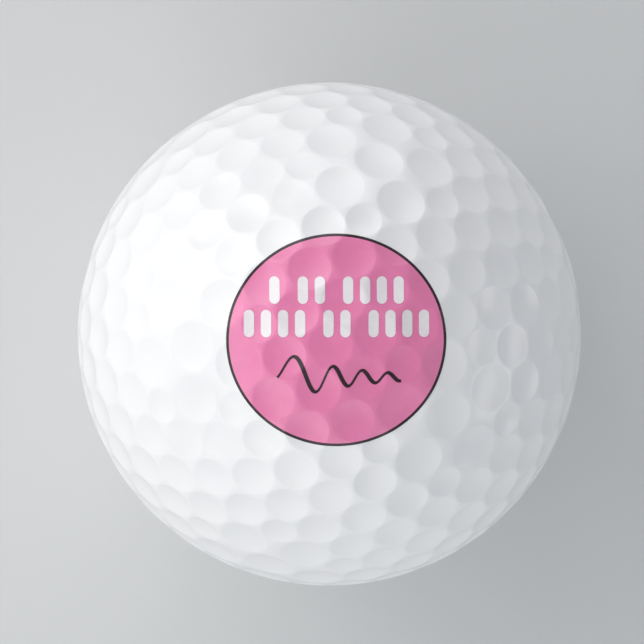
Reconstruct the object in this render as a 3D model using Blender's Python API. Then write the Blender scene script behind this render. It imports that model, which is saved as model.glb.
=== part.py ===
"""Golf ball with a two-part core, a mantle, a dimpled cover and a pad-printed label.

Origin at the centre of the ball. +Z runs out through the centre of the label, +Y is up on the label
and +X is to its right. The halves of the cover and of the outer core meet on the XY plane, and those
of the mantle on the YZ plane.
"""
import math

import bmesh
import bpy
import numpy as np
from mathutils import Vector
from mathutils.geometry import delaunay_2d_cdt

MM = 0.001

# Layers, radii in millimetres. Neighbouring layers keep a gap of 0.3 mm.
BALL_RADIUS = 21.35
COVER_INNER = 20.55
MANTLE_OUTER = 20.25
MANTLE_INNER = 19.35
OUTER_CORE_OUTER = 19.05
OUTER_CORE_INNER = 12.95
INNER_CORE_RADIUS = 12.65
HALF_SEAM = 0.15
MERIDIANS = 24
PARALLELS = 12

# Dimples. Each row is one family: degrees from a five-fold point of the pattern,
# degrees to either side of the line to the next five-fold point, width in degrees, depth in millimetres.
DIMPLE_FAMILIES = (
    (0.0, 0.0, 11.6, 0.30),
    (12.25, 0.0, 11.5, 0.30),
    (17.45, 36.0, 8.35, 0.23),
    (22.8, 13.3, 10.1, 0.27),
    (26.85, 36.0, 10.05, 0.27),
    (31.717, 0.0, 10.3, 0.27),
    (33.195, 19.157, 10.1, 0.27),
    (37.377, 36.0, 10.4, 0.27),
)
DIMPLE_SIDES = 8
PATTERN_TILT = 46.45
PATTERN_HEADING = 75.94
PATTERN_TWIST = -73.46
FIVE_FOLD_SPACING = math.degrees(math.atan(2.0))

# Printed label, millimetres, drawn on a flat plane over +Z and carried down onto the cover.
LABEL_HALF_WIDTH = 9.02
LABEL_HALF_HEIGHT = 8.70
LABEL_SIDES = 48
OUTLINE_WIDTH = 0.22
OUTLINE_GAP = 0.04
INK_THICKNESS = 0.03
INK_LIFT = 0.03
OVERPRINT_LIFT = 0.09
BAR_WIDTH = 0.86
BAR_HEIGHT = 2.3
BAR_PITCH = 1.42
WORD_SPACE = 0.95
BAR_ROWS = ((4.2, (1, 2, 4)), (1.4, (4, 2, 4)))
FLOURISH_LEFT = -5.0
FLOURISH_RIGHT = 5.4
FLOURISH_HEIGHT = -3.1
FLOURISH_SWING = 2.3
FLOURISH_FADE = 2.0
FLOURISH_WAVES = 3.8
FLOURISH_CROWDING = 1.4
FLOURISH_WIDTH = 0.36
FLOURISH_PIECES = 56


def clear_scene():
    for obj in list(bpy.data.objects):
        bpy.data.objects.remove(obj, do_unlink=True)
    for mesh in list(bpy.data.meshes):
        bpy.data.meshes.remove(mesh)


def unit(vector):
    return vector / np.linalg.norm(vector)


def material(name, colour, roughness):
    mat = bpy.data.materials.new(name)
    mat.use_nodes = True
    shader = mat.node_tree.nodes["Principled BSDF"]
    shader.inputs["Base Color"].default_value = (colour[0], colour[1], colour[2], 1.0)
    shader.inputs["Roughness"].default_value = roughness
    mat.diffuse_color = (colour[0], colour[1], colour[2], 1.0)
    return mat


def add_object(name, points, faces, mat):
    """Make a mesh object from points in millimetres, shaded smooth with its hard edges kept."""
    mesh = bpy.data.meshes.new(name)
    mesh.from_pydata([(p[0] * MM, p[1] * MM, p[2] * MM) for p in points], [], faces)
    mesh.update()
    work = bmesh.new()
    work.from_mesh(mesh)
    bmesh.ops.recalc_face_normals(work, faces=work.faces)
    for face in work.faces:
        face.smooth = True
    for edge in work.edges:
        if len(edge.link_faces) == 2 and edge.calc_face_angle() > math.radians(35.0):
            edge.smooth = False
    work.to_mesh(mesh)
    work.free()
    mesh.materials.append(mat)
    obj = bpy.data.objects.new(name, mesh)
    bpy.context.scene.collection.objects.link(obj)
    return obj


# ---------------------------------------------------------------- dimple pattern

def turned(pole, start, degrees):
    """The unit direction `start`, square to `pole`, turned about `pole`."""
    angle = math.radians(degrees)
    return math.cos(angle) * start + math.sin(angle) * np.cross(pole, start)


def toward(pole, heading, degrees):
    """The direction reached by leaning from `pole` toward `heading`."""
    angle = math.radians(degrees)
    return math.cos(angle) * pole + math.sin(angle) * heading


def pattern_frame():
    tilt = math.radians(PATTERN_TILT)
    heading = math.radians(PATTERN_HEADING)
    pole = np.array([math.sin(tilt) * math.cos(heading), math.sin(tilt) * math.sin(heading), math.cos(tilt)])
    down = unit(pole * pole[2] - np.array([0.0, 0.0, 1.0]))
    return pole, turned(pole, down, PATTERN_TWIST)


def five_fold_points(pole, edge):
    ring = [toward(pole, turned(pole, edge, 72.0 * k), FIVE_FOLD_SPACING) for k in range(5)]
    return [pole] + ring + [-point for point in ring] + [-pole]


def dimple_list():
    """Every dimple as a direction, half its width in radians and its depth in millimetres."""
    pole, edge = pattern_frame()
    points = five_fold_points(pole, edge)
    near = math.cos(math.radians(FIVE_FOLD_SPACING + 5.0))
    dimples = []
    for point in points:
        for other in points:
            if other is point or float(point @ other) < near:
                continue
            line = unit(other - float(other @ point) * point)
            for lean, off_line, width, depth in DIMPLE_FAMILIES:
                for side in (1.0, -1.0):
                    spot = toward(point, turned(point, line, side * off_line), lean)
                    if all(np.linalg.norm(spot - d[0]) > 0.02 for d in dimples):
                        dimples.append((spot, math.radians(width) / 2.0, depth))
    return dimples


def dimpled_surface():
    """Points in millimetres and triangles of the whole outer surface."""
    pole, edge = pattern_frame()
    across = np.cross(pole, edge)
    dimples = dimple_list()
    points = []
    owners = []
    flat = []
    rims = []
    for index, (spot, half, depth) in enumerate(dimples):
        side = unit(np.cross(spot, np.array([0.31, 0.47, 0.83])))
        first = len(points)
        for k in range(DIMPLE_SIDES):
            way = turned(spot, side, 360.0 * k / DIMPLE_SIDES)
            point = math.cos(half) * spot + math.sin(half) * way
            stretch = 2.0 / (1.0 + float(point @ pole))
            flat.append(Vector((float(point @ edge) * stretch, float(point @ across) * stretch)))
            points.append(point * BALL_RADIUS)
            owners.append(index)
            rims.append((first + k, first + (k + 1) % DIMPLE_SIDES))
    found = delaunay_2d_cdt(flat, rims, [], 0, 1e-7)
    origins = [group[0] for group in found[3]]
    triangles = []
    for face in found[2]:
        corners = [origins[v] for v in face]
        if len({owners[c] for c in corners}) > 1:
            triangles.append(corners)
    for index, (spot, half, depth) in enumerate(dimples):
        middle = len(points)
        points.append(spot * (BALL_RADIUS - depth))
        first = index * DIMPLE_SIDES
        for k in range(DIMPLE_SIDES):
            triangles.append([first + k, first + (k + 1) % DIMPLE_SIDES, middle])
    outward = []
    for a, b, c in triangles:
        facing = np.cross(points[b] - points[a], points[c] - points[a]) @ (points[a] + points[b] + points[c])
        outward.append((a, b, c) if facing > 0.0 else (a, c, b))
    return points, outward


# ---------------------------------------------------------------- layers

def sphere_grid(radius, offset):
    """Points and faces of a full ball surface."""
    points = [(0.0, 0.0, radius)]
    faces = []
    for row in range(1, PARALLELS):
        lean = math.pi * row / PARALLELS
        for column in range(MERIDIANS):
            turn = 2.0 * math.pi * column / MERIDIANS
            points.append((radius * math.sin(lean) * math.cos(turn), radius * math.sin(lean) * math.sin(turn),
                           radius * math.cos(lean)))
    last = len(points)
    points.append((0.0, 0.0, -radius))
    for column in range(MERIDIANS):
        following = (column + 1) % MERIDIANS
        faces.append((offset, offset + 1 + column, offset + 1 + following))
        for row in range(PARALLELS - 2):
            top = offset + 1 + row * MERIDIANS
            low = top + MERIDIANS
            faces.append((top + column, low + column, low + following, top + following))
        end = offset + 1 + (PARALLELS - 2) * MERIDIANS
        faces.append((end + column, offset + last, end + following))
    return points, faces


def half_shell(outer, inner, side):
    """Points and faces of a cup whose flat rim lies HALF_SEAM from the XY plane on the given side."""
    points = []
    faces = []
    bands = PARALLELS // 2
    starts = []
    for radius in (outer, inner):
        starts.append(len(points))
        rim_lean = math.acos(HALF_SEAM / radius)
        points.append((0.0, 0.0, side * radius))
        for row in range(1, bands + 1):
            lean = rim_lean * row / bands
            for column in range(MERIDIANS):
                turn = 2.0 * math.pi * column / MERIDIANS
                points.append((radius * math.sin(lean) * math.cos(turn),
                               radius * math.sin(lean) * math.sin(turn), side * radius * math.cos(lean)))
        start = starts[-1]
        for column in range(MERIDIANS):
            following = (column + 1) % MERIDIANS
            faces.append((start, start + 1 + column, start + 1 + following))
            for row in range(bands - 1):
                top = start + 1 + row * MERIDIANS
                low = top + MERIDIANS
                faces.append((top + column, low + column, low + following, top + following))
    rims = [start + 1 + (bands - 1) * MERIDIANS for start in starts]
    for column in range(MERIDIANS):
        following = (column + 1) % MERIDIANS
        faces.append((rims[0] + column, rims[1] + column, rims[1] + following, rims[0] + following))
    return points, faces


def side_shell(outer, inner, side):
    """Points and faces of a cup whose flat rim lies HALF_SEAM from the YZ plane on the given side."""
    points = []
    faces = []
    rims = []
    spans = MERIDIANS // 2
    for radius in (outer, inner):
        rows = []
        for row in range(PARALLELS + 1):
            lean = math.pi * row / PARALLELS
            rows.append([])
            for column in range(1 if row in (0, PARALLELS) else spans + 1):
                turn = math.pi * (column / spans - 0.5)
                away = max(radius * math.sin(lean) * math.cos(turn), HALF_SEAM)
                y = radius * math.sin(lean) * math.sin(turn)
                z = radius * math.cos(lean)
                fit = math.sqrt((radius * radius - away * away) / (y * y + z * z))
                rows[-1].append(len(points))
                points.append((side * away, y * fit, z * fit))
        for row in range(PARALLELS):
            high = rows[row]
            low = rows[row + 1]
            for column in range(spans):
                if row == 0:
                    faces.append((high[0], low[column], low[column + 1]))
                elif row == PARALLELS - 1:
                    faces.append((high[column], low[0], high[column + 1]))
                else:
                    faces.append((high[column], low[column], low[column + 1], high[column + 1]))
        rims.append([row[0] for row in rows] + [row[-1] for row in reversed(rows[1:-1])])
    for k in range(len(rims[0])):
        following = (k + 1) % len(rims[0])
        faces.append((rims[0][k], rims[0][following], rims[1][following], rims[1][k]))
    return points, faces


def make_cover(name, surface, side, mat):
    """One moulded half of the cover: the dimpled ball kept only where a plain half shell overlaps it."""
    cover = add_object(name, surface[0], surface[1], mat)
    points, faces = half_shell(BALL_RADIUS + 3.0, COVER_INNER, side)
    cutter = add_object(name + "_cutter", points, faces, mat)
    cutter.hide_render = True
    cutter.display_type = "WIRE"
    cut = cover.modifiers.new("half", "BOOLEAN")
    cut.operation = "INTERSECT"
    cut.solver = "EXACT"
    cut.object = cutter
    return cover


# ---------------------------------------------------------------- printed label

def clip_to_line(polygon, start, end):
    """Keep the part of a polygon that lies left of the line from start to end, seen from +Z."""
    dx = end[0] - start[0]
    dy = end[1] - start[1]
    kept = []
    for k, point in enumerate(polygon):
        following = polygon[(k + 1) % len(polygon)]
        here = dx * (point[1] - start[1]) - dy * (point[0] - start[0])
        there = dx * (following[1] - start[1]) - dy * (following[0] - start[0])
        if here >= 0.0:
            kept.append(point)
        if (here >= 0.0) != (there >= 0.0):
            kept.append(point + (following - point) * (here / (here - there)))
    return kept


def make_film(name, surface, cells, lift, mat):
    """A thin ink film over the flat convex cells, following every dimple below it."""
    points, triangles = surface
    work = bmesh.new()
    for cell in cells:
        low = np.min(np.array(cell), axis=0)
        high = np.max(np.array(cell), axis=0)
        for corners in triangles:
            polygon = [points[c] for c in corners]
            flat = np.array(polygon)
            if flat[:, 2].min() < 0.0 or np.any(flat.max(axis=0)[:2] < low) or np.any(flat.min(axis=0)[:2] > high):
                continue
            for k, start in enumerate(cell):
                polygon = clip_to_line(polygon, start, cell[(k + 1) % len(cell)])
                if len(polygon) < 3:
                    break
            if len(polygon) >= 3:
                work.faces.new([work.verts.new(Vector(p)) for p in polygon])
    bmesh.ops.remove_doubles(work, verts=work.verts, dist=0.0002)
    bmesh.ops.triangulate(work, faces=work.faces)
    work.verts.index_update()
    count = len(work.verts)
    sheet = [np.array(v.co) for v in work.verts]
    tops = [unit(p) * (np.linalg.norm(p) + lift + INK_THICKNESS) for p in sheet]
    bottoms = [unit(p) * (np.linalg.norm(p) + lift) for p in sheet]
    faces = []
    for face in work.faces:
        ring = [v.index for v in face.verts]
        faces.append(tuple(ring))
        faces.append(tuple(count + v for v in reversed(ring)))
    for edge in work.edges:
        if len(edge.link_faces) == 1:
            a = edge.link_loops[0].vert.index
            b = edge.other_vert(edge.link_loops[0].vert).index
            faces.append((b, a, count + a, count + b))
    work.free()
    return add_object(name, tops + bottoms, faces, mat)


def oval(extra):
    """Corners of the label outline, grown by a margin."""
    corners = []
    for k in range(LABEL_SIDES):
        turn = 2.0 * math.pi * k / LABEL_SIDES
        corners.append((math.cos(turn) * (LABEL_HALF_WIDTH + extra), math.sin(turn) * (LABEL_HALF_HEIGHT + extra)))
    return corners


def rounded_bar(x, y):
    """Corners of an upright bar with round ends."""
    radius = BAR_WIDTH / 2.0
    straight = BAR_HEIGHT / 2.0 - radius
    corners = []
    for centre_y, start in ((y + straight, 0.0), (y - straight, 180.0)):
        for k in range(5):
            turn = math.radians(start + 45.0 * k)
            corners.append((x + radius * math.cos(turn), centre_y + radius * math.sin(turn)))
    return corners


def flourish_cells():
    """A hand-drawn wave that dies away to the right, as a strip of four-sided cells."""
    spine = []
    for k in range(FLOURISH_PIECES + 1):
        share = k / FLOURISH_PIECES
        swing = FLOURISH_SWING * math.exp(-FLOURISH_FADE * share)
        x = FLOURISH_LEFT + (FLOURISH_RIGHT - FLOURISH_LEFT) * share
        y = FLOURISH_HEIGHT + swing * math.sin(2.0 * math.pi * FLOURISH_WAVES * share ** FLOURISH_CROWDING)
        spine.append(np.array([x, y]))
    left = []
    right = []
    for k, spot in enumerate(spine):
        run = unit(spine[min(k + 1, FLOURISH_PIECES)] - spine[max(k - 1, 0)])
        half = FLOURISH_WIDTH / 2.0 * (0.74 - 0.26 * run[1])
        sideways = np.array([-run[1], run[0]]) * half
        left.append(spot + sideways)
        right.append(spot - sideways)
    return [(right[k], right[k + 1], left[k + 1], left[k]) for k in range(FLOURISH_PIECES)]


# ---------------------------------------------------------------- build

clear_scene()
white_cover = material("cover_urethane", (0.90, 0.905, 0.91), 0.22)
grey_mantle = material("mantle_ionomer", (0.62, 0.70, 0.74), 0.40)
blue_core = material("outer_core_rubber", (0.07, 0.22, 0.42), 0.65)
orange_core = material("inner_core_rubber", (0.72, 0.30, 0.06), 0.70)
pink_ink = material("pink_ink", (0.72, 0.24, 0.42), 0.35)
black_ink = material("black_ink", (0.02, 0.015, 0.02), 0.35)
white_ink = material("white_ink", (0.92, 0.90, 0.91), 0.35)

core_points, core_faces = sphere_grid(INNER_CORE_RADIUS, 0)
add_object("inner_core", core_points, core_faces, orange_core)

for half_name, half_side in (("upper", 1.0), ("lower", -1.0)):
    cup_points, cup_faces = half_shell(OUTER_CORE_OUTER, OUTER_CORE_INNER, half_side)
    add_object("outer_core_" + half_name, cup_points, cup_faces, blue_core)

for half_name, half_side in (("right", 1.0), ("left", -1.0)):
    cup_points, cup_faces = side_shell(MANTLE_OUTER, MANTLE_INNER, half_side)
    add_object("mantle_" + half_name, cup_points, cup_faces, grey_mantle)

outer_surface = dimpled_surface()
make_cover("cover_upper", outer_surface, 1.0, white_cover)
make_cover("cover_lower", outer_surface, -1.0, white_cover)

make_film("print_disc", outer_surface, [oval(0.0)], INK_LIFT, pink_ink)
inside = oval(OUTLINE_GAP)
outside = oval(OUTLINE_GAP + OUTLINE_WIDTH)
outline_cells = []
for corner in range(LABEL_SIDES):
    after = (corner + 1) % LABEL_SIDES
    outline_cells.append((inside[corner], outside[corner], outside[after], inside[after]))
make_film("print_outline", outer_surface, outline_cells, INK_LIFT, black_ink)

for row_number, (row_height, groups) in enumerate(BAR_ROWS, start=1):
    length = sum(groups) * BAR_PITCH + (len(groups) - 1) * WORD_SPACE
    place = (BAR_PITCH - length) / 2.0
    bar_number = 1
    for group in groups:
        for step in range(group):
            bar_name = "print_bar_%d_%02d" % (row_number, bar_number)
            make_film(bar_name, outer_surface, [rounded_bar(place, row_height)], OVERPRINT_LIFT, white_ink)
            place = place + BAR_PITCH
            bar_number = bar_number + 1
        place = place + WORD_SPACE

make_film("print_flourish", outer_surface, flourish_cells(), OVERPRINT_LIFT, black_ink)
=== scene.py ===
"""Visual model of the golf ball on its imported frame: cover, printed label, camera and soft light."""

import math

import bmesh
import bpy
import numpy as np
from mathutils import Matrix, Vector
from mathutils.geometry import delaunay_2d_cdt


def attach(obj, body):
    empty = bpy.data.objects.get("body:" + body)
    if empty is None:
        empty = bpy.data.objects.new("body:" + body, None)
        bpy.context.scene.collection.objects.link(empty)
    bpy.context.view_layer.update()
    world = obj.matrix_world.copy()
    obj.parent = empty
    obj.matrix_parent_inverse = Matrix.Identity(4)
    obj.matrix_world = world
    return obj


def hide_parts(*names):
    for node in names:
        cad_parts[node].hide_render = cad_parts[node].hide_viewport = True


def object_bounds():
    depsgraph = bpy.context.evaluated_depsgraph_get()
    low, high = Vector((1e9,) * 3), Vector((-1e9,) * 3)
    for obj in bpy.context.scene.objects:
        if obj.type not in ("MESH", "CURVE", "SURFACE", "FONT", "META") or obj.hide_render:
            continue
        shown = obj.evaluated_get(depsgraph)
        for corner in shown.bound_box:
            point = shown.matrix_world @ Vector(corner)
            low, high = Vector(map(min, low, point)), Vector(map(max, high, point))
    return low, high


MM = 0.001

# Ball and cover, millimetres. The dimple pattern repeats the CAD part's own numbers.
BALL_RADIUS = 21.35
COVER_INNER = 20.55
HALF_SEAM = 0.012
DIMPLE_FAMILIES = (
    (0.0, 0.0, 11.6, 0.30),
    (12.25, 0.0, 11.5, 0.30),
    (17.45, 36.0, 8.35, 0.23),
    (22.8, 13.3, 10.1, 0.27),
    (26.85, 36.0, 10.05, 0.27),
    (31.717, 0.0, 10.3, 0.27),
    (33.195, 19.157, 10.1, 0.27),
    (37.377, 36.0, 10.4, 0.27),
)
PATTERN_TILT = 46.45
PATTERN_HEADING = 75.94
PATTERN_TWIST = -73.46
FIVE_FOLD_SPACING = math.degrees(math.atan(2.0))
RIM_SOFTNESS = 0.045
SOFT_LIMIT = 30.0
BATCH = 8000
DIMPLE_SIDES = 28
DIMPLE_RINGS = (0.25, 0.47, 0.66, 0.81, 0.91, 0.965, 1.0)
RING_REFERENCE = (0.31, 0.47, 0.83)
WALL_ROWS = 8
CREASE_ANGLE = math.radians(50.0)

# Printed label, millimetres.
LABEL_HALF_WIDTH = 9.02
LABEL_HALF_HEIGHT = 8.70
OUTLINE_WIDTH = 0.22
OUTLINE_GAP = 0.006
INK_LIFT = 0.012
INK_THICKNESS = 0.018
OVERPRINT_LIFT = 0.042
OVERPRINT_THICKNESS = 0.012
EDGE_STEP = 0.11
BAR_WIDTH = 0.86
BAR_HEIGHT = 2.3
BAR_PITCH = 1.42
WORD_SPACE = 0.95
BAR_ROWS = ((4.2, (1, 2, 4)), (1.4, (4, 2, 4)))
FLOURISH_LEFT = -5.0
FLOURISH_RIGHT = 5.4
FLOURISH_HEIGHT = -3.1
FLOURISH_SWING = 2.3
FLOURISH_FADE = 2.0
FLOURISH_WAVES = 3.8
FLOURISH_CROWDING = 1.4
FLOURISH_WIDTH = 0.36
FLOURISH_PIECES = 170

# Camera: almost straight above the label, upright on it.
VIEW_SIDE = -0.030
VIEW_UP = 0.025
CAMERA_DISTANCE = 2000.0
SENSOR = 36.0
BALL_SHARE = 0.7817
FRAME_RIGHT = 0.62
FRAME_DOWN = 1.02


# ---------------------------------------------------------------- dimpled surface

def unit(vector):
    return vector / np.linalg.norm(vector)


def turned(pole, start, degrees):
    """The unit direction `start`, square to `pole`, turned about `pole`."""
    angle = math.radians(degrees)
    return math.cos(angle) * start + math.sin(angle) * np.cross(pole, start)


def toward(pole, heading, degrees):
    """The direction reached by leaning from `pole` toward `heading`."""
    angle = math.radians(degrees)
    return math.cos(angle) * pole + math.sin(angle) * heading


def pattern_frame():
    tilt = math.radians(PATTERN_TILT)
    heading = math.radians(PATTERN_HEADING)
    lean = math.sin(tilt)
    pole = np.array([lean * math.cos(heading), lean * math.sin(heading), math.cos(tilt)])
    down = unit(pole * pole[2] - np.array([0.0, 0.0, 1.0]))
    return pole, turned(pole, down, PATTERN_TWIST)


def five_fold_points(pole, edge):
    ring = [toward(pole, turned(pole, edge, 72.0 * k), FIVE_FOLD_SPACING) for k in range(5)]
    return [pole] + ring + [-point for point in ring] + [-pole]


def dimple_list():
    """Every dimple as a direction, half its width in radians and its depth in millimetres."""
    pole, edge = pattern_frame()
    points = five_fold_points(pole, edge)
    near = math.cos(math.radians(FIVE_FOLD_SPACING + 5.0))
    dimples = []
    for point in points:
        for other in points:
            if other is point or float(point @ other) < near:
                continue
            line = unit(other - float(other @ point) * point)
            for lean, off_line, width, depth in DIMPLE_FAMILIES:
                for side in (1.0, -1.0):
                    spot = toward(point, turned(point, line, side * off_line), lean)
                    if all(np.linalg.norm(spot - d[0]) > 0.02 for d in dimples):
                        dimples.append((spot, math.radians(width) / 2.0, depth))
    return dimples


DIMPLES = dimple_list()
SPOTS = np.array([d[0] for d in DIMPLES])
HALVES = np.array([d[1] for d in DIMPLES])
DEPTHS = np.array([d[2] for d in DIMPLES])


def surface_radius(ways):
    """Distance of the outer surface from the centre, in millimetres, along each unit direction."""
    radii = []
    for start in range(0, len(ways), BATCH):
        apart = np.arccos(np.clip(ways[start:start + BATCH] @ SPOTS.T, -1.0, 1.0))
        inside = (1.0 - (apart / HALVES) ** 2) / RIM_SOFTNESS
        rounded = np.log1p(np.exp(np.minimum(inside, SOFT_LIMIT)))
        sink = np.where(inside > SOFT_LIMIT, inside, rounded) * RIM_SOFTNESS
        radii.append(BALL_RADIUS - (sink * DEPTHS).sum(axis=1))
    return np.concatenate(radii)


def ball_surface():
    """Points in millimetres and faces of the whole outer surface: rings in each dimple, strips between."""
    pole, edge = pattern_frame()
    across = np.cross(pole, edge)
    ways = []
    flat = []
    rims = []
    rim_points = []
    faces = []
    count = len(DIMPLE_RINGS)
    for index, (spot, half, _) in enumerate(DIMPLES):
        side = unit(np.cross(spot, np.array(RING_REFERENCE)))
        middle = len(ways)
        ways.append(spot)
        for share in DIMPLE_RINGS:
            for k in range(DIMPLE_SIDES):
                way = turned(spot, side, 360.0 * k / DIMPLE_SIDES)
                ways.append(math.cos(half * share) * spot + math.sin(half * share) * way)
        for k in range(DIMPLE_SIDES):
            following = (k + 1) % DIMPLE_SIDES
            faces.append((middle, middle + 1 + k, middle + 1 + following))
            for ring in range(count - 1):
                near = middle + 1 + ring * DIMPLE_SIDES
                far = near + DIMPLE_SIDES
                faces.append((near + k, far + k, far + following, near + following))
            rim = middle + 1 + (count - 1) * DIMPLE_SIDES + k
            stretch = 2.0 / (1.0 + float(ways[rim] @ pole))
            flat.append(Vector((float(ways[rim] @ edge) * stretch, float(ways[rim] @ across) * stretch)))
            rim_points.append(rim)
            rims.append((index * DIMPLE_SIDES + k, index * DIMPLE_SIDES + following))
    found = delaunay_2d_cdt(flat, rims, [], 0, 1e-7)
    origins = [group[0] for group in found[3]]
    for face in found[2]:
        corners = [origins[v] for v in face]
        if len({c // DIMPLE_SIDES for c in corners}) > 1:
            faces.append(tuple(rim_points[c] for c in corners))
    ways = np.array(ways)
    return ways * surface_radius(ways)[:, None], faces


# ---------------------------------------------------------------- mesh pieces

def add_piece(name, mesh, mat, node):
    mesh.materials.append(mat)
    obj = bpy.data.objects.new(name, mesh)
    bpy.context.scene.collection.objects.link(obj)
    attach(obj, "root")
    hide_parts(node)
    return obj


def finished(work, mesh):
    """The mesh written from the work, faces outward, smooth but for its sharp edges."""
    bmesh.ops.recalc_face_normals(work, faces=work.faces)
    for face in work.faces:
        face.smooth = True
    for edge in work.edges:
        if edge.calc_face_angle(0.0) > CREASE_ANGLE:
            edge.smooth = False
    work.to_mesh(mesh)
    work.free()
    return mesh


def half_cover(name, points, faces, side):
    """One moulded half of the cover as a closed shell, with its rim beside the XY plane."""
    mesh = bpy.data.meshes.new(name)
    mesh.from_pydata([tuple(p) for p in points * MM], [], faces)
    work = bmesh.new()
    work.from_mesh(mesh)
    bmesh.ops.recalc_face_normals(work, faces=work.faces)
    whole = list(work.verts) + list(work.edges) + list(work.faces)
    rim_height = side * HALF_SEAM * MM
    bmesh.ops.bisect_plane(work, geom=whole, dist=1e-8, plane_co=(0.0, 0.0, rim_height),
                           plane_no=(0.0, 0.0, side), clear_inner=True)
    edge_points = {v for e in work.edges if len(e.link_faces) == 1 for v in e.verts}
    loop = sorted(edge_points, key=lambda v: math.atan2(v.co.y, v.co.x))
    turns = [math.atan2(v.co.y, v.co.x) for v in loop]
    rim_lean = math.acos(HALF_SEAM / COVER_INNER)
    rows = [loop]
    for row in range(WALL_ROWS):
        lean = rim_lean * (1.0 - row / WALL_ROWS)
        reach = COVER_INNER * MM * math.sin(lean)
        height = side * COVER_INNER * MM * math.cos(lean)
        rows.append([work.verts.new((reach * math.cos(t), reach * math.sin(t), height)) for t in turns])
    top = work.verts.new((0.0, 0.0, side * COVER_INNER * MM))
    for k in range(len(loop)):
        following = (k + 1) % len(loop)
        for outer, inner in zip(rows[:-1], rows[1:]):
            work.faces.new((outer[k], outer[following], inner[following], inner[k]))
        work.faces.new((rows[-1][k], rows[-1][following], top))
    return finished(work, mesh)


def within(places, loops):
    """True for each flat place inside the closed loops, counted by crossings."""
    inside = np.zeros(len(places), dtype=bool)
    for loop in loops:
        for k in range(len(loop)):
            ax, ay = loop[k]
            bx, by = loop[(k + 1) % len(loop)]
            if ay == by:
                continue
            spans = (places[:, 1] >= min(ay, by)) & (places[:, 1] < max(ay, by))
            crossing = ax + (places[:, 1] - ay) * (bx - ax) / (by - ay)
            inside ^= spans & (crossing > places[:, 0])
    return inside


def raise_to_ball(places):
    """Unit directions and surface distances of flat places carried straight down onto the cover."""
    radii = np.full(len(places), BALL_RADIUS)
    ways = np.zeros((len(places), 3))
    for step in range(6):
        ways[:, :2] = places / radii[:, None]
        ways[:, 2] = np.sqrt(1.0 - ways[:, 0] ** 2 - ways[:, 1] ** 2)
        radii = surface_radius(ways)
    return ways, radii


def ink_film(name, cover_points, loops, lift, thickness):
    """A thin closed film of ink inside flat loops, following the cover's own mesh below it."""
    edge_points = np.array([p for loop in loops for p in loop])
    low = edge_points.min(axis=0)
    high = edge_points.max(axis=0)
    near = cover_points[cover_points[:, 2] > 0.0][:, :2]
    near = near[np.all((near > low) & (near < high), axis=1)]
    near = near[within(near, loops)]
    if len(near):
        gaps = np.linalg.norm(near[:, None, :] - edge_points[None, :, :], axis=2).min(axis=1)
        near = near[gaps > EDGE_STEP * 0.6]
    places = np.concatenate([edge_points, near])
    sides = []
    start = 0
    for loop in loops:
        sides += [(start + k, start + (k + 1) % len(loop)) for k in range(len(loop))]
        start += len(loop)
    found = delaunay_2d_cdt([Vector(p) for p in places], sides, [], 0, 1e-7)
    origins = [group[0] for group in found[3]]
    triangles = np.array([[origins[v] for v in face] for face in found[2]])
    triangles = triangles[within(places[triangles].mean(axis=1), loops)]
    ways, radii = raise_to_ball(places)
    count = len(places)
    upper = ways * (radii + lift + thickness)[:, None]
    lower = ways * (radii + lift)[:, None]
    faces = [tuple(t) for t in triangles] + [tuple(t[::-1] + count) for t in triangles]
    faces += [(b, a, count + a, count + b) for a, b in sides]
    mesh = bpy.data.meshes.new(name)
    mesh.from_pydata([tuple(p) for p in np.concatenate([upper, lower]) * MM], [], faces)
    work = bmesh.new()
    work.from_mesh(mesh)
    return finished(work, mesh)


def oval(extra):
    """The label's outline, grown by a margin."""
    width = LABEL_HALF_WIDTH + extra
    height = LABEL_HALF_HEIGHT + extra
    steps = int(2.0 * math.pi * width / (2.0 * EDGE_STEP))
    turns = [2.0 * math.pi * k / steps for k in range(steps)]
    return [(width * math.cos(t), height * math.sin(t)) for t in turns]


def rounded_bar(x, y):
    """An upright bar with round ends."""
    radius = BAR_WIDTH / 2.0
    straight = BAR_HEIGHT / 2.0 - radius
    corners = []
    for centre_y, start in ((y + straight, 0.0), (y - straight, 180.0)):
        for k in range(13):
            turn = math.radians(start + 15.0 * k)
            corners.append((x + radius * math.cos(turn), centre_y + radius * math.sin(turn)))
        last_x, last_y = corners[-1]
        run = -2.0 * straight if start == 0.0 else 2.0 * straight
        steps = int(2.0 * straight / (1.5 * EDGE_STEP))
        corners += [(last_x, last_y + run * k / steps) for k in range(1, steps)]
    return corners


def flourish():
    """A hand-drawn wave that dies away to the right, as one closed outline."""
    spine = []
    for k in range(FLOURISH_PIECES + 1):
        share = k / FLOURISH_PIECES
        swing = FLOURISH_SWING * math.exp(-FLOURISH_FADE * share)
        x = FLOURISH_LEFT + (FLOURISH_RIGHT - FLOURISH_LEFT) * share
        y = FLOURISH_HEIGHT + swing * math.sin(2.0 * math.pi * FLOURISH_WAVES * share ** FLOURISH_CROWDING)
        spine.append(np.array([x, y]))
    left = []
    right = []
    for k, spot in enumerate(spine):
        run = unit(spine[min(k + 1, FLOURISH_PIECES)] - spine[max(k - 1, 0)])
        half = FLOURISH_WIDTH / 2.0 * (0.74 - 0.26 * run[1])
        sideways = np.array([-run[1], run[0]]) * half
        left.append(tuple(spot + sideways))
        right.append(tuple(spot - sideways))
    return left + right[::-1]


# ---------------------------------------------------------------- materials

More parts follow.
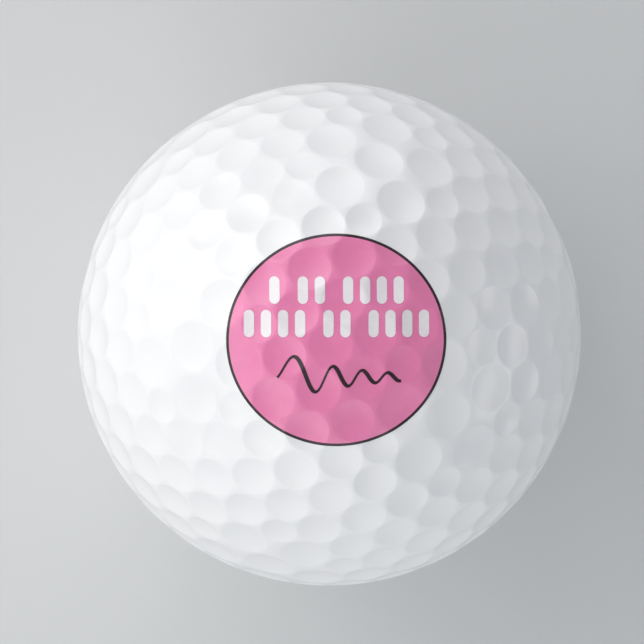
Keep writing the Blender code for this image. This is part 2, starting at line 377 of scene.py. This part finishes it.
def surface_material(name, colour, other, patch, roughness, spread, coat, grain, grain_depth):
    """A moulded or printed finish: two close colours in soft patches, uneven gloss and a fine grain.

    Patch and grain are sizes in millimetres.
    """
    mat = bpy.data.materials.new(name)
    mat.use_nodes = True
    tree = mat.node_tree
    shader = tree.nodes["Principled BSDF"]
    place = tree.nodes.new("ShaderNodeTexCoord")
    clouds = tree.nodes.new("ShaderNodeTexNoise")
    clouds.inputs["Scale"].default_value = 1000.0 / patch
    clouds.inputs["Detail"].default_value = 4.0
    clouds.inputs["Roughness"].default_value = 0.55
    tree.links.new(place.outputs["Object"], clouds.inputs["Vector"])
    tint = tree.nodes.new("ShaderNodeValToRGB")
    tint.color_ramp.elements[0].position = 0.35
    tint.color_ramp.elements[1].position = 0.65
    tint.color_ramp.elements[0].color = (other[0], other[1], other[2], 1.0)
    tint.color_ramp.elements[1].color = (colour[0], colour[1], colour[2], 1.0)
    tree.links.new(clouds.outputs["Fac"], tint.inputs["Fac"])
    tree.links.new(tint.outputs["Color"], shader.inputs["Base Color"])
    fine = tree.nodes.new("ShaderNodeTexNoise")
    fine.inputs["Scale"].default_value = 1000.0 / grain
    fine.inputs["Detail"].default_value = 3.0
    tree.links.new(place.outputs["Object"], fine.inputs["Vector"])
    gloss = tree.nodes.new("ShaderNodeMapRange")
    gloss.inputs["To Min"].default_value = roughness - spread
    gloss.inputs["To Max"].default_value = roughness + spread
    tree.links.new(clouds.outputs["Fac"], gloss.inputs["Value"])
    tree.links.new(gloss.outputs["Result"], shader.inputs["Roughness"])
    bump = tree.nodes.new("ShaderNodeBump")
    bump.inputs["Strength"].default_value = 1.0
    bump.inputs["Distance"].default_value = grain_depth * MM
    tree.links.new(fine.outputs["Fac"], bump.inputs["Height"])
    tree.links.new(bump.outputs["Normal"], shader.inputs["Normal"])
    shader.inputs["IOR"].default_value = 1.5
    shader.inputs["Coat Weight"].default_value = coat
    shader.inputs["Coat Roughness"].default_value = 0.20
    shader.inputs["Coat IOR"].default_value = 1.5
    return mat


# ---------------------------------------------------------------- camera and light

def add_camera():
    toward_camera = unit(np.array([VIEW_SIDE, VIEW_UP, 1.0]))
    up = unit(np.array([0.0, 1.0, 0.0]) - toward_camera[1] * toward_camera)
    right = np.cross(up, toward_camera)
    place = toward_camera * CAMERA_DISTANCE - right * FRAME_RIGHT + up * FRAME_DOWN
    data = bpy.data.cameras.new("camera")
    data.sensor_width = SENSOR
    half_angle = math.asin(BALL_RADIUS / CAMERA_DISTANCE)
    data.lens = SENSOR / 2.0 * BALL_SHARE / math.tan(half_angle)
    data.clip_start = 0.01
    data.clip_end = 20.0
    camera = bpy.data.objects.new("camera", data)
    matrix = Matrix.Identity(4)
    for row in range(3):
        matrix[row][0] = right[row]
        matrix[row][1] = up[row]
        matrix[row][2] = toward_camera[row]
        matrix[row][3] = place[row] * MM
    camera.matrix_world = matrix
    bpy.context.scene.collection.objects.link(camera)
    bpy.context.scene.camera = camera


def soft_light(name, heading, height, distance, width, length, power, colour):
    """An area light aimed at the ball from a heading about +Z and a height above the horizon, degrees."""
    turn = math.radians(heading)
    rise = math.radians(height)
    way = Vector((math.cos(rise) * math.cos(turn), math.cos(rise) * math.sin(turn), math.sin(rise)))
    data = bpy.data.lights.new(name, "AREA")
    data.shape = "RECTANGLE"
    data.size = width
    data.size_y = length
    data.energy = power
    data.color = colour
    light = bpy.data.objects.new(name, data)
    light.location = way * distance
    light.rotation_euler = way.to_track_quat("Z", "Y").to_euler()
    light.visible_camera = False
    bpy.context.scene.collection.objects.link(light)


def add_floor(height):
    mesh = bpy.data.meshes.new("floor")
    half = 3.0
    corners = [(-half, -half, height), (half, -half, height), (half, half, height), (-half, half, height)]
    mesh.from_pydata(corners, [], [(0, 1, 2, 3)])
    mesh.materials.append(surface_material("floor_paper", (0.68, 0.69, 0.69), (0.665, 0.675, 0.675), 60.0,
                                           0.75, 0.05, 0.0, 1.0, 0.02))
    floor = bpy.data.objects.new("floor", mesh)
    bpy.context.scene.collection.objects.link(floor)


# ---------------------------------------------------------------- build

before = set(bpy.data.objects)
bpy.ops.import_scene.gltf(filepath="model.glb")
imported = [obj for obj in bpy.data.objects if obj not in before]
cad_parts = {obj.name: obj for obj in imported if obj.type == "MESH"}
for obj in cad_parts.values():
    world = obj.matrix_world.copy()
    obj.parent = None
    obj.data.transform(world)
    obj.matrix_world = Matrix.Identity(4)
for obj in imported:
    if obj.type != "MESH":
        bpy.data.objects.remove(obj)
cad_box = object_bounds()

cover_white = surface_material("white_cover", (0.90, 0.905, 0.91), (0.885, 0.89, 0.90), 9.0,
                               0.34, 0.05, 0.6, 0.35, 0.0012)
pink_ink = surface_material("pink_print", (0.87, 0.232, 0.457), (0.83, 0.214, 0.427), 1.6,
                            0.40, 0.06, 0.6, 0.30, 0.0015)
black_ink = surface_material("black_print", (0.014, 0.003, 0.008), (0.024, 0.006, 0.013), 0.5,
                             0.45, 0.06, 0.35, 0.30, 0.0015)
white_ink = surface_material("white_print", (0.90, 0.87, 0.885), (0.87, 0.82, 0.85), 0.6,
                             0.40, 0.06, 0.6, 0.30, 0.0015)
core_finishes = {
    "inner_core": surface_material("orange_rubber", (0.72, 0.30, 0.06), (0.60, 0.22, 0.04), 2.5,
                                   0.72, 0.10, 0.0, 0.5, 0.03),
    "outer_core": surface_material("blue_rubber", (0.07, 0.22, 0.42), (0.05, 0.16, 0.33), 2.0,
                                   0.68, 0.10, 0.0, 0.5, 0.03),
    "mantle": surface_material("grey_ionomer", (0.62, 0.70, 0.74), (0.57, 0.66, 0.71), 6.0,
                               0.42, 0.08, 0.0, 0.8, 0.01),
}
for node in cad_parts:
    for start, finish in core_finishes.items():
        if node.startswith(start):
            cad_object = bpy.data.objects[node]
            for place in cad_object.material_slots:
                place.material = finish

surface_points, surface_faces = ball_surface()
for half_name, half_side in (("upper", 1.0), ("lower", -1.0)):
    half_mesh = half_cover("moulded_" + half_name, surface_points, surface_faces, half_side)
    add_piece("moulded_cover_" + half_name, half_mesh, cover_white, "cover_" + half_name)

add_piece("printed_disc", ink_film("printed_disc", surface_points, [oval(0.0)], INK_LIFT, INK_THICKNESS),
          pink_ink, "print_disc")
outline_loops = [oval(OUTLINE_GAP), oval(OUTLINE_GAP + OUTLINE_WIDTH)]
add_piece("printed_outline", ink_film("printed_outline", surface_points, outline_loops, INK_LIFT,
                                      INK_THICKNESS), black_ink, "print_outline")

for row_number, (row_height, groups) in enumerate(BAR_ROWS, start=1):
    row_length = sum(groups) * BAR_PITCH + (len(groups) - 1) * WORD_SPACE
    bar_x = (BAR_PITCH - row_length) / 2.0
    bar_number = 1
    for group in groups:
        for step in range(group):
            tag = "%d_%02d" % (row_number, bar_number)
            bar_mesh = ink_film("printed_bar_" + tag, surface_points, [rounded_bar(bar_x, row_height)],
                                OVERPRINT_LIFT, OVERPRINT_THICKNESS)
            add_piece("printed_bar_" + tag, bar_mesh, white_ink, "print_bar_" + tag)
            bar_x = bar_x + BAR_PITCH
            bar_number = bar_number + 1
        bar_x = bar_x + WORD_SPACE

add_piece("printed_flourish", ink_film("printed_flourish", surface_points, [flourish()], OVERPRINT_LIFT,
                                       OVERPRINT_THICKNESS), black_ink, "print_flourish")

add_floor(cad_box[0][2])
add_camera()

world = bpy.data.worlds.new("studio")
world.use_nodes = True
world.node_tree.nodes["Background"].inputs["Color"].default_value = (0.88, 0.94, 1.0, 1.0)
world.node_tree.nodes["Background"].inputs["Strength"].default_value = 0.32
bpy.context.scene.world = world
bpy.context.scene.view_settings.view_transform = "Standard"
soft_light("key", 150.0, 18.0, 0.60, 0.42, 0.30, 0.82, (1.0, 0.98, 0.94))
soft_light("key_high", 135.0, 45.0, 0.60, 0.42, 0.30, 0.54, (1.0, 0.99, 0.98))
soft_light("left_low", 180.0, 10.0, 0.60, 0.42, 0.30, 0.27, (1.0, 0.98, 1.0))
soft_light("left_high", 180.0, 45.0, 0.60, 0.42, 0.30, 0.49, (1.0, 0.98, 0.98))
soft_light("left_foot", 225.0, 45.0, 0.60, 0.42, 0.30, 0.42, (1.0, 0.97, 0.94))
soft_light("top_high", 110.0, 35.0, 0.60, 0.42, 0.30, 0.46, (1.0, 0.96, 0.96))
soft_light("top_low", 85.0, 14.0, 0.60, 0.42, 0.30, 0.58, (1.0, 0.97, 1.0))
soft_light("foot", 254.0, 22.0, 0.60, 0.80, 0.50, 1.28, (0.99, 0.99, 1.0))
soft_light("right_foot", 310.0, 38.0, 0.60, 0.42, 0.30, 0.19, (1.0, 0.98, 1.0))
soft_light("right_low", -10.0, 4.0, 0.60, 0.42, 0.20, 0.50, (1.0, 0.98, 1.0))
